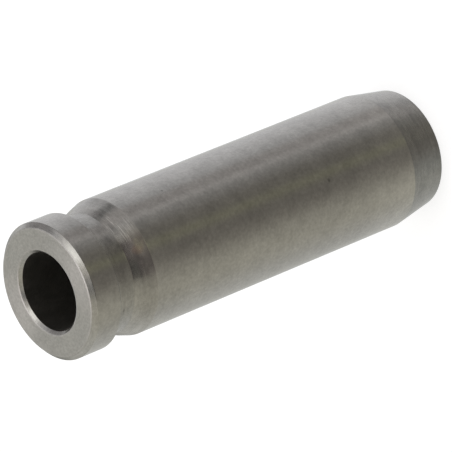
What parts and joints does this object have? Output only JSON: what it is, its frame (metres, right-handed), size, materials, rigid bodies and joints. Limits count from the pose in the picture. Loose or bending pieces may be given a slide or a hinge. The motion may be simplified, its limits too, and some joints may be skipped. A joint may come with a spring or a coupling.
{
  "type": "valve guide",
  "caption": "Turned metal sleeve that guides a valve stem: ground outside, plain bore, head with a seal groove, and a lead taper at the port end.",
  "frame": {"origin": "on the axis, in the plane of the port end face that the guide stands on", "axes": "+Z runs along the axis from the port end to the seal end; X and Y are any two square directions across it"},
  "size_m": [0.014, 0.014, 0.047],
  "materials": {
    "guide_metal": "turned all over, with the outside ground and the faces and groove left as turned"
  },
  "bodies": {
    "root": {"valve_guide": "guide_metal"}
  },
  "joints": []
}
